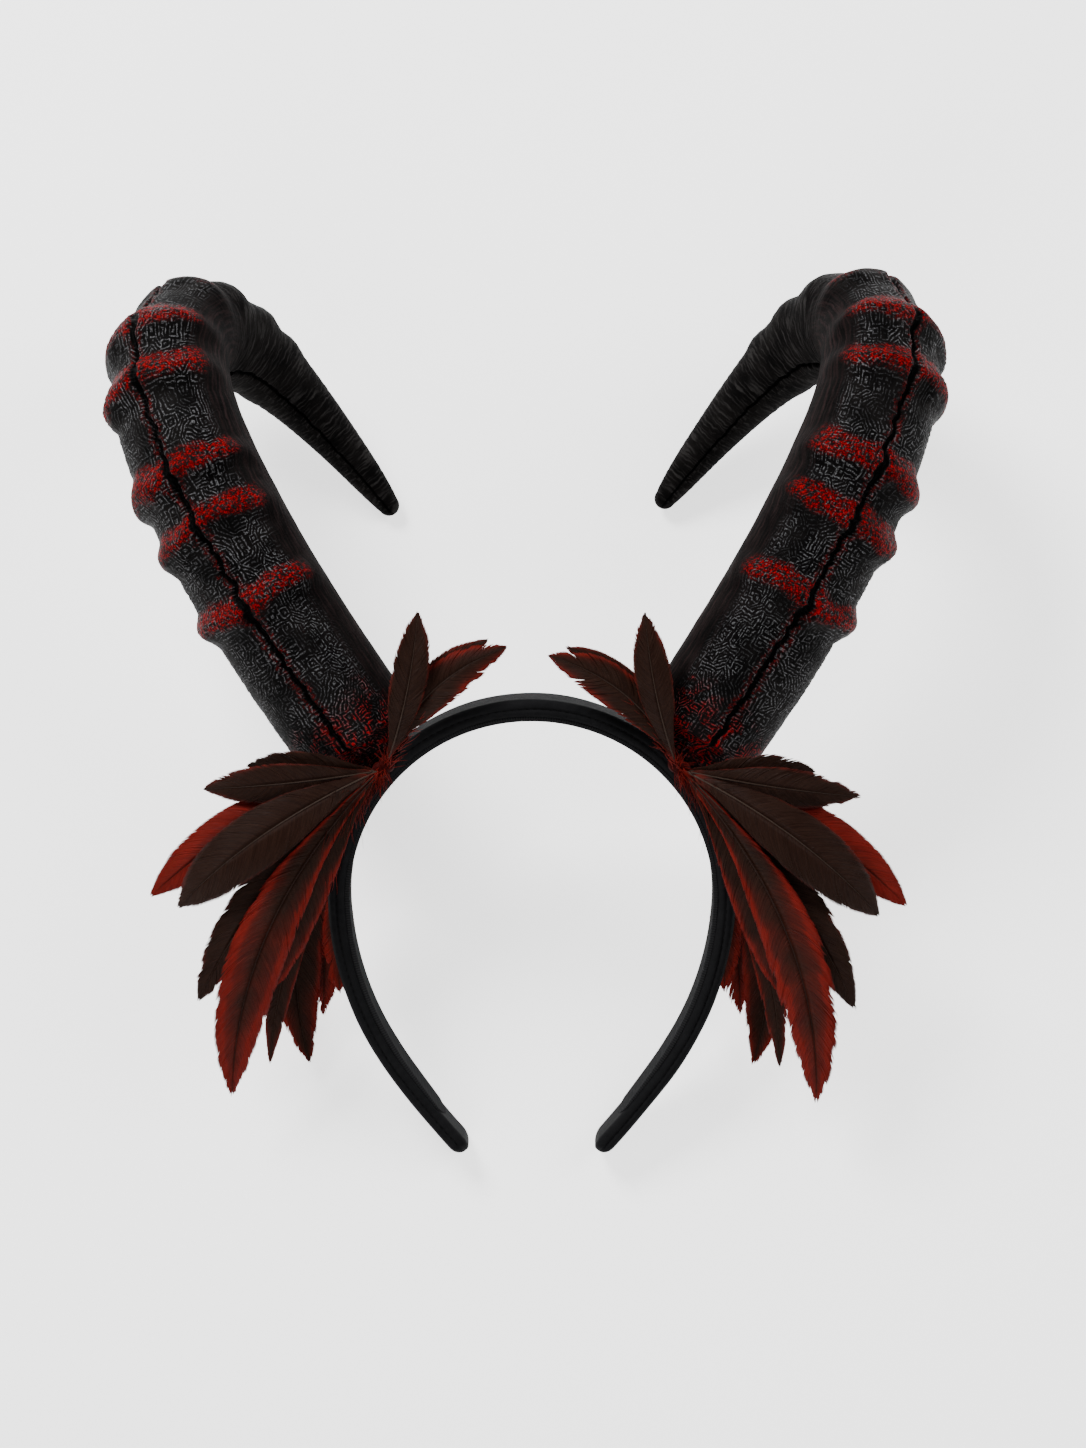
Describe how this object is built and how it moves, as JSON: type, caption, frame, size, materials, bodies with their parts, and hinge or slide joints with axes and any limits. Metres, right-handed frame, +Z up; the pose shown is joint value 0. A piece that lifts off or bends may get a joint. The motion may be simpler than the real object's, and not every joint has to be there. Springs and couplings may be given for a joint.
{
  "type": "horn headband",
  "caption": "Padded hair band with a pair of ridged, back-curling horns and fans of long feathers beside each horn, lying on its back.",
  "frame": {"origin": "middle of the outer box on the floor, with the headband lying on the ends of the band and the backs of the horns", "axes": "+X to the wearer's left, +Y towards the tops of the horns, +Z up, away from the floor"},
  "size_m": [0.2896, 0.302, 0.1064],
  "materials": {
    "satin": "black satin cover",
    "ribbon": "matt black ribbon",
    "painted_foam": "crackled black foam, dry-brushed with red on the rings",
    "feather": "dark brown feathers dyed red at the edges"
  },
  "bodies": {
    "root": {"band": "satin", "band_lining": "ribbon", "horn_left": "painted_foam", "horn_right": "painted_foam", "plume_upper_left": "feather", "plume_upper_right": "feather", "plume_lower_left": "feather", "plume_lower_right": "feather", "plume_rear_left": "feather", "plume_rear_right": "feather"}
  },
  "joints": []
}
